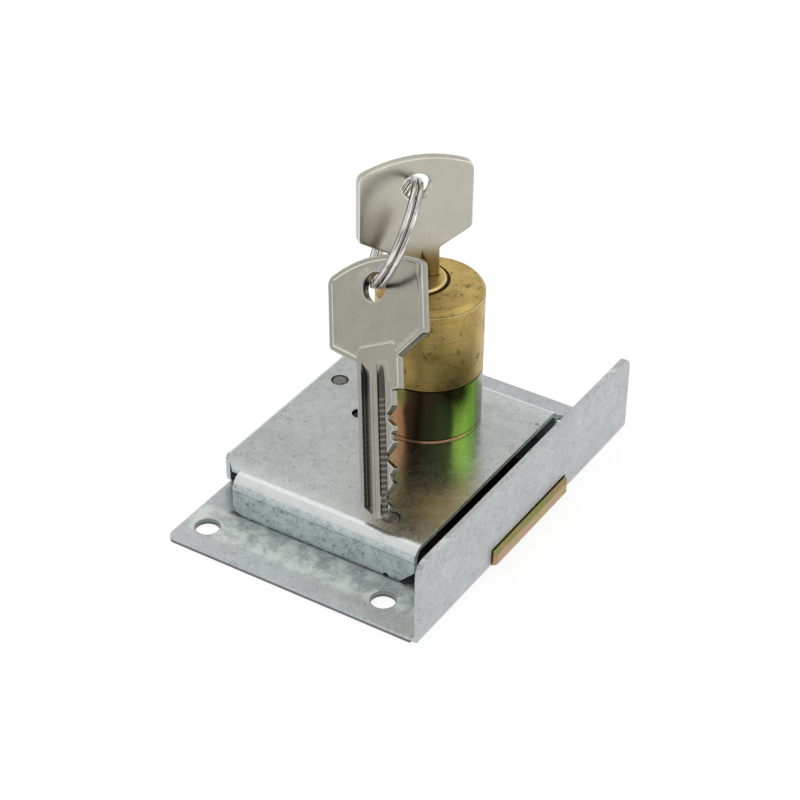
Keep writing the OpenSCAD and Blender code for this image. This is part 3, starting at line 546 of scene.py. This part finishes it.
def soft(x, a, b):
    """0 up to a, 1 from b on, smooth between."""
    x = np.clip((x - a) / (b - a), 0.0, 1.0)
    return x * x * (3 - 2 * x)


def rounded(corners):
    """Corners (s, t, r) as a closed row of points."""
    steps = 7
    out = []
    for i, (x, y, r) in enumerate(corners):
        here = np.array((x, y))
        if r == 0:
            out.append(here)
            continue
        a = np.array(corners[i - 1][:2]) - here
        b = np.array(corners[(i + 1) % len(corners)][:2]) - here
        a, b = a / np.hypot(*a), b / np.hypot(*b)
        half = math.acos(float(np.clip(a @ b, -1, 1))) / 2
        centre = here + (a + b) / np.hypot(*(a + b)) * r / math.sin(half)
        first, last = here + a * r / math.tan(half) - centre, here + b * r / math.tan(half) - centre
        turn = math.atan2(first[0] * last[1] - first[1] * last[0], first @ last)
        for k in range(steps + 1):
            c, s = math.cos(turn * k / steps), math.sin(turn * k / steps)
            out.append(centre + (first[0] * c - first[1] * s, first[0] * s + first[1] * c))
    return out


def cut_edge(t):
    """Where the blade's edge stands at height t, with its cuts and the slope of its tip."""
    s = min(BLADE_EDGE, 0.2 + (t - TIP) * 3.2 / 3.0)
    for i, depth in enumerate(CUTS):
        away = abs(t - (FIRST_CUT - CUT_PITCH * i)) - CUT_HALF
        s = min(s, BLADE_EDGE - CUT_STEP * depth + max(away, 0.0))
    return s


def key_outline():
    """The outline of bow, neck and cut blade, clockwise seen from the front."""
    arch_r = (BOW_HALF * BOW_HALF + BOW_ARCH * BOW_ARCH) / (2 * BOW_ARCH)
    middle = BOW_FOOT + BOW_SIDE + BOW_ARCH - arch_r
    span = math.asin(BOW_HALF / arch_r)
    crown = [(arch_r * math.sin(a), middle + arch_r * math.cos(a), 2.0 if k in (0, 12) else 0)
             for k, a in enumerate(np.linspace(-span, span, 13))]
    edge = [(cut_edge(t), t, 0) for t in np.arange(NECK_FOOT - 0.01, TIP, -0.15)]
    left = [(-NECK_HALF, NECK_FOOT, 0), (-NECK_HALF, 0, 0.6), (-BOW_HALF, BOW_FOOT, 1.2)]
    right = [(-x, y, r) for x, y, r in left[::-1]]
    tip = [(0.2, TIP, 0), (-0.9, TIP, 0), (BLADE_BACK, TIP + 3.2, 0.5), (BLADE_BACK, NECK_FOOT, 0)]
    return np.array(rounded([*left, *crown, *right, *edge, *tip]))


def resample(loop, step):
    """The same closed loop with points no more than about step apart."""
    out = []
    for a, b in zip(loop, np.roll(loop, -1, 0)):
        n = max(1, int(np.hypot(*(b - a)) / step + 0.5))
        out.extend(a + (b - a) * k / n for k in range(n))
    return np.array(out)


def distance(points, loop):
    """Least distance from each point to a closed loop, more than 0 inside it."""
    a, b = loop, np.roll(loop, -1, 0)
    least = np.full(len(points), 1e9)
    inside = np.zeros(len(points), bool)
    px, py = points[:, 0], points[:, 1]
    for (ax, ay), (bx, by) in zip(a, b):
        dx, dy = bx - ax, by - ay
        k = np.clip(((px - ax) * dx + (py - ay) * dy) / max(dx * dx + dy * dy, 1e-12), 0, 1)
        least = np.minimum(least, np.hypot(px - ax - k * dx, py - ay - k * dy))
        if ay != by:
            inside ^= ((ay > py) != (by > py)) & (px < (bx - ax) * (py - ay) / (by - ay) + ax)
    return np.where(inside, least, -least)


def groove(depth, walls):
    """A groove as deep as depth, less where its walls rise."""
    return np.maximum(0.0, depth - walls)


def line_at(s, middle):
    """1 on a scored line at s = middle."""
    return 1 - soft(np.abs(s - middle), 0.03, 0.12)


def milled_face(s, t, edge):
    """Depth of the face with the rim and the two flutes, and its painted brightness, 0.5 in the middle: painted
    shade in the flutes and the scored line, painted highlights on the rim's slopes and along the edges.
    """
    block = np.hypot(np.maximum(np.abs(s) - 3.9, 0), np.maximum(t - 1.6, 0)) - 0.85
    panel = 0.28 * soft(edge, 0.85, 1.25) * soft(block, 0.0, 0.30) * (t > -1)
    left = groove(0.78 * soft(-t, -1.0, 3.4), np.where(s < -3.7, (-3.7 - s) * 6, (s + 3.7) * 0.30))
    deep = np.where(s < 0.85, np.where(s < 0.1, 0.375 + (0.1 - s) * 7, (0.85 - s) * 0.5),
                    np.where(s > 1.55, 0.14 + (s - 1.55) * 3, (s - 0.85) * 0.2))
    right = groove(0.86 * soft(-t, 0.2, 4.2), deep)
    reach = np.where(t < NECK_FOOT, 4.0, np.minimum(2.45 - 0.14 * t, 3.2))
    flat = 0.24 * soft(-t, 0.1, 1.2) * soft(s, 0.0, 0.12) * soft(reach - s, 0.0, 0.15)
    ridge = (0.5 + 0.5 * np.cos(math.tau * t / 1.12)) ** 4
    outer = soft(-s, 1.7, 2.3)
    shade = soft(left, 0.04, 0.2) * (0.24 + 0.40 * outer + 0.22 * soft(t, -12, -3) * outer
                                     + 0.1 * ridge * soft(-t, 8, 12))
    shade += soft(right, 0.05, 0.25) * (0.76 - 0.5 * ridge * soft(-t, 6.5, 8.5))
    shade += 0.6 * soft(line_at(s, -1.12), 0.3, 1.0) * soft(-t, 2.0, 4.5)
    glow = soft(panel, 0.01, 0.06) * soft(-panel, -0.19, -0.12)
    glow += 0.5 * soft(edge, 0.0, 0.04) * soft(-edge, -0.3, -0.1)
    right = np.maximum(right - 0.10 * ridge * soft(right, 0.3, 0.5) * soft(-t, 6.5, 8.5), 0)
    left = np.maximum(left - 0.05 * ridge * soft(left, 0.2, 0.4) * soft(-t, 8, 12), 0)
    line = 0.10 * soft(-t, 2.0, 4.5) * line_at(s, -1.12)
    return panel + np.maximum(np.maximum(left, line), np.maximum(right, flat)), 0.5 - 0.5 * shade + 0.5 * glow


def plain_face(s, t, edge):
    """Depth of the face with one flute, which runs out in a spike on the neck, and its painted brightness: painted
    shade in the flute, painted highlights on a line beside it and along the edges.
    """
    walls = np.where(s < 1.15, (1.15 - s) * 6, (s - 1.15) * 0.30)
    deep = groove(0.62 * soft(-t, -1.3, 5.4), walls)
    bright = 0.5 - 0.33 * soft(deep, 0.02, 0.1) + 0.3 * line_at(s, 1.12) * soft(-t, -1.3, 0.0)
    bright += 0.3 * soft(edge, 0.0, 0.04) * soft(-edge, -0.3, -0.1)
    return deep, bright


def ward_flute(s, t):
    """The flute that the plug's ward stands in."""
    depth = np.where(t > -4.4, 0.6 - 7 + np.sqrt(np.maximum(49 - (t + 4.4) ** 2, 0)), 0.6)
    return np.maximum(depth, 0) * soft(s, -4.1, -4.04) * soft(-s, 2.6, 2.66)


def lock_face(s, t, edge):
    """The seen face of the key in the lock."""
    deep, bright = plain_face(s, t, edge)
    return np.maximum(deep, ward_flute(s, t)), bright


def inner_points(outline, hole, inside):
    """Points between outline and hole: rows along the edges, and grids as fine as the flutes and the rim need."""
    pieces = []
    lip_rows, rim_rows = (0.04, 0.11, 0.2, 0.3), (0.83, 0.93, 1.03, 1.15, 1.3)
    for loop, insets in ((outline, lip_rows + rim_rows), (hole, lip_rows)):
        ahead = np.roll(loop, -1, 0) - np.roll(loop, 1, 0)
        inward = np.stack([ahead[:, 1], -ahead[:, 0]], 1) / np.hypot(ahead[:, 0], ahead[:, 1])[:, None]
        for inset in insets:
            row = loop + inward * inset
            pieces.append((row[row[:, 1] > -0.6] if inset > 0.5 else row, inset))
    across = (-4.3, -4.04, -3.85, -3.72, -3.6, -3.3, -2.95, -2.66, -2.6, -2.2, -1.7, -1.4, -1.24, -1.12, -1.0, -0.7,
              -0.3, -0.05, 0.03, 0.1, 0.2, 0.5, 0.85, 1.12, 1.2, 1.5, 1.6, 1.75, 1.9, 2.2, 2.6, 3.0, 3.2, 4.2)
    grid = [(s, t) for t in np.arange(2.2, TIP, -0.28) for s in across]
    bow = [(s, t) for s in np.arange(-11, 11.1, 0.75) for t in np.arange(2.6, 20, 0.75)]
    block = [(s, t) for s in np.arange(-5, 5.1, 0.25) for t in (2.3, 2.45, 2.6, 2.8)]
    pieces += [(np.array(grid), 0.40), (np.array(bow), 1.6), (np.array(block), 0.40)]
    inner = np.concatenate([points[inside(points) > least * 0.93] for points, least in pieces])
    places = np.round(inner / 0.05).astype(int)
    return inner[np.sort(np.unique(places, axis=0, return_index=True)[1])]


def key_net():
    """Points (s, t), triangles between them, and how far inside the key's edge each point is."""
    outline = resample(key_outline(), 0.22)
    ring = np.linspace(0, math.tau, 84, endpoint=False)
    hole = np.stack([HOLE_R * np.cos(ring), HOLE_T + HOLE_R * np.sin(ring)], 1)

    def inside(points):
        return np.minimum(distance(points, outline), -distance(points, hole))

    points = np.concatenate([outline, hole, inner_points(outline, hole, inside)])
    n, m = len(outline), len(hole)
    edges = [(i, (i + 1) % n) for i in range(n)] + [(n + i, n + (i + 1) % m) for i in range(m)]
    net = delaunay_2d_cdt([Vector(p) for p in points], edges, [], 0, 1e-5)
    flat, faces = (np.array([tuple(v) for v in net[k]]) for k in (0, 2))
    faces = faces[inside(flat[faces].mean(1)) > 0]
    return flat, faces, np.maximum(inside(flat), 0)


def key_piece(name, node, body, place, turn, material, front, back):
    """A whole key: outline, hole, rounded edges and both faces. place and turn are those of its own axes."""
    flat, faces, edge = key_net()
    s, t = flat[:, 0], flat[:, 1]
    lip = 0.28
    fall = lip - np.sqrt(np.maximum(lip ** 2 - np.maximum(lip - edge, 0) ** 2, 0))
    most = KEY_T / 2 - 0.1
    (front_depth, front_shade), (back_depth, back_shade) = front(s, t, edge), back(s, t, edge)
    low = -KEY_T / 2 + np.minimum(np.maximum(front_depth, fall), most)
    high = KEY_T / 2 - np.minimum(np.maximum(back_depth, fall), most)
    count = len(flat)
    verts = np.concatenate([np.stack([s, low, t], 1), np.stack([s, high, t], 1)])
    verts = verts @ np.array(turn).T + np.array(place)
    faces = faces.tolist()
    tris = [tuple(f) for f in faces] + [tuple(i + count for i in f[::-1]) for f in faces]
    seen = dict.fromkeys(pair for a, b, c in faces for pair in ((a, b), (b, c), (c, a)))
    tris += [(j, i, i + count, j + count) for i, j in seen if (j, i) not in seen]
    data = bpy.data.meshes.new(name)
    data.from_pydata([tuple(v * MM) for v in verts], [], tris)
    # Painted shade and highlights of both faces, per point, for the key's material.
    painted_shading = data.attributes.new("painted_shading", "FLOAT", "POINT")
    painted_shading.data.foreach_set("value", np.concatenate([front_shade, back_shade]).astype(np.float32))
    mesh = bmesh.new()
    mesh.from_mesh(data)
    loose = [v for v in mesh.verts if not v.link_faces]
    bmesh.ops.delete(mesh, geom=loose, context="VERTS")
    bmesh.ops.recalc_face_normals(mesh, faces=mesh.faces)
    mesh.to_mesh(data)
    mesh.free()
    smooth_shaded(data, 38)
    obj = put_in(name, data)
    data.materials.append(material)
    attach(obj, body)
    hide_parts(node)


key_piece("key_in_lock", "lock_key", "turning", LOCK_KEY_AT, Matrix.Rotation(KEY_TURN, 3, "Z"), looks["lock_key"],
          lock_face, milled_face)
key_piece("key_on_ring", "spare_key", "spare", SPARE_AT, SPARE_AXES, looks["spare_key"], milled_face, plain_face)


def split_ring():
    """Two turns of wire side by side, stepping across by the spare key's hole, with cut ends there."""
    radius, wire, pitch, spin = 11.2, 1.2, 1.32, math.radians(26.2)
    start, end, crossing = 12, 708, (342, 378)  # degrees along the wire
    tilt = Matrix.Rotation(RING_TURN, 3, "Z") @ Matrix.Rotation(RING_LEAN, 3, "Y")
    mesh = bmesh.new()
    painted_shading = mesh.verts.layers.float.new("painted_shading")
    sides, steps = 20, 420
    rows = []
    for i in range(steps + 1):
        along = start + (end - start) * i / steps
        a = math.radians(along)
        off = pitch * (soft(along, *crossing) - 0.5)
        out = Vector((math.cos(a + spin), math.sin(a + spin), 0))
        mid = out * radius + Vector((0, 0, off))
        row = []
        from_end = min(i, steps - i) / 3
        r = wire / 2 * (1 if from_end >= 1 else 0.80 + 0.20 * math.sqrt(max(0, 1 - (1 - from_end) ** 2)))
        for k in range(sides):
            b = math.tau * k / sides
            local = out * (r * math.cos(b)) + Vector((0, 0, r * math.sin(b)))
            vert = mesh.verts.new((tilt @ (mid + local) + Vector(RING_AT)) * MM)
            # 1 on the wire's inner and outer sides, 0 where the two turns touch: painted highlight and shade.
            vert[painted_shading] = abs(math.cos(b))
            row.append(vert)
        rows.append(row)
    for a, b in zip(rows, rows[1:]):
        for k in range(sides):
            mesh.faces.new((a[k], a[(k + 1) % sides], b[(k + 1) % sides], b[k]))
    mesh.faces.new(rows[0][::-1])
    mesh.faces.new(rows[-1])
    bmesh.ops.recalc_face_normals(mesh, faces=mesh.faces)
    data = bpy.data.meshes.new("ring_wire")
    mesh.to_mesh(data)
    mesh.free()
    for poly in data.polygons:
        poly.use_smooth = len(poly.vertices) == 4
    obj = put_in("ring_wire", data)
    # The ring's wire gets painted highlights and painted shade.
    data.materials.append(wire_steel("bright_wire", (0.60, 0.585, 0.56), 0.10, painted_light=True))
    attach(obj, "ring")
    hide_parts("split_ring")


split_ring()


def leaf_spring():
    """The bolt's spring, welded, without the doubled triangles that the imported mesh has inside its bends."""
    mesh = bmesh.new()
    mesh.from_mesh(nodes["bolt_spring"].data)
    found = {}
    for face in mesh.faces:
        found.setdefault(frozenset(tuple(round(c / MM, 4) for c in v.co) for v in face.verts), []).append(face)
    doubled = [face for faces in found.values() if len(faces) > 1 for face in faces]
    bmesh.ops.delete(mesh, geom=doubled, context="FACES")
    bmesh.ops.remove_doubles(mesh, verts=mesh.verts, dist=1e-7)
    data = bpy.data.meshes.new("leaf_spring")
    mesh.to_mesh(data)
    mesh.free()
    smooth_shaded(data, 30)
    obj = put_in("leaf_spring", data)
    data.materials.append(looks["bolt_spring"])
    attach(obj, "case")
    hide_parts("bolt_spring")


leaf_spring()


def stage():
    """A pale floor that looks white to the camera and in the metal, and keeps the lock's shadow."""
    data = bpy.data.meshes.new("floor")
    half, below = 6.0, 0.2 * MM
    data.from_pydata([(-half, -half, 0), (half, -half, 0), (half, half, 0), (-half, half, 0)], [], [(0, 1, 2, 3)])
    floor = put_in("floor", data)
    floor.location.z = -below
    mat = bpy.data.materials.new("white_floor")
    mat.use_nodes = True
    nt = mat.node_tree
    nt.nodes.clear()
    out = nt.nodes.new("ShaderNodeOutputMaterial")
    plain = nt.nodes.new("ShaderNodeBsdfDiffuse")
    plain.inputs["Color"].default_value = (0.80, 0.80, 0.80, 1)
    seen = nt.nodes.new("ShaderNodeBsdfDiffuse")
    seen.inputs["Color"].default_value = (0.22, 0.22, 0.22, 1)
    glow = nt.nodes.new("ShaderNodeEmission")
    glow.inputs["Strength"].default_value = 0.84
    white = nt.nodes.new("ShaderNodeAddShader")
    nt.links.new(seen.outputs[0], white.inputs[0])
    nt.links.new(glow.outputs[0], white.inputs[1])
    path = nt.nodes.new("ShaderNodeLightPath")
    ray = path.outputs["Is Camera Ray"]
    for other in ("Is Glossy Ray", "Is Transmission Ray"):
        most = nt.nodes.new("ShaderNodeMath")
        most.operation = "MAXIMUM"
        nt.links.new(ray, most.inputs[0])
        nt.links.new(path.outputs[other], most.inputs[1])
        ray = most.outputs[0]
    pick = nt.nodes.new("ShaderNodeMixShader")
    nt.links.new(ray, pick.inputs[0])
    nt.links.new(plain.outputs[0], pick.inputs[1])
    nt.links.new(white.outputs[0], pick.inputs[2])
    nt.links.new(pick.outputs[0], out.inputs[0])
    floor.data.materials.append(mat)


def lamp(name, at, size, power):
    """An area lamp aimed at the lock."""
    data = bpy.data.lights.new(name, "AREA")
    data.shape = "RECTANGLE"
    data.size, data.size_y = size
    data.energy = power
    obj = put_in(name, data)
    obj.location = at
    obj.rotation_euler = (Vector((0, 0, 0.02)) - Vector(at)).to_track_quat("-Z", "Y").to_euler()


def world():
    """A plain bright surround, darker where the photographer stands."""
    w = bpy.data.worlds.new("studio")
    bpy.context.scene.world = w
    w.use_nodes = True
    nt = w.node_tree
    nt.nodes.clear()
    out = nt.nodes.new("ShaderNodeOutputWorld")
    back = nt.nodes.new("ShaderNodeBackground")
    coord = nt.nodes.new("ShaderNodeTexCoord")
    dot = nt.nodes.new("ShaderNodeVectorMath")
    dot.operation = "DOT_PRODUCT"
    dot.inputs[1].default_value = Vector((0.50, -0.80, 0.0)).normalized()
    nt.links.new(coord.outputs["Generated"], dot.inputs[0])
    ramp = nt.nodes.new("ShaderNodeValToRGB")
    els = ramp.color_ramp.elements
    els[0].position, els[0].color = 0.70, (1.0, 1.0, 1.0, 1)
    els[1].position, els[1].color = 0.97, (0.35, 0.35, 0.35, 1)
    nt.links.new(dot.outputs["Value"], ramp.inputs[0])
    nt.links.new(ramp.outputs[0], back.inputs["Color"])
    back.inputs["Strength"].default_value = 0.85
    nt.links.new(back.outputs[0], out.inputs[0])


def camera():
    """The camera fitted to the photo, for its frame of 800 by 800."""
    azimuth, elevation, roll = math.radians(31.744), math.radians(34.997), math.radians(0.836)
    back = Vector((math.sin(azimuth) * math.cos(elevation), -math.cos(azimuth) * math.cos(elevation),
                   math.sin(elevation)))
    right = Vector((math.cos(azimuth), math.sin(azimuth), 0))
    up = back.cross(right)
    right, up = (right * math.cos(roll) + up * math.sin(roll), up * math.cos(roll) - right * math.sin(roll))
    data = bpy.data.cameras.new("camera")
    obj = put_in("camera", data)
    aim, away = Vector((3.122, -2.674, 22.286)) * MM, 0.452695
    place = aim + back * away
    obj.matrix_world = Matrix((
        (right.x, up.x, back.x, place.x), (right.y, up.y, back.y, place.y),
        (right.z, up.z, back.z, place.z), (0, 0, 0, 1)))
    data.sensor_width = 36.0
    data.lens = 103.525
    data.shift_x = 0.00439
    data.shift_y = -0.00114
    data.clip_start = 0.01
    bpy.context.scene.camera = obj


stage()
world()
lamp("top_soft", (-0.25, 0.35, 0.75), (0.7, 0.5), 0.6)
lamp("left_soft", (-0.75, -0.15, 0.45), (0.4, 0.6), 0.4)
lamp("right_soft", (0.65, 0.25, 0.40), (0.35, 0.5), 0.4)
camera()

view = bpy.context.scene.view_settings
view.view_transform = "Standard"
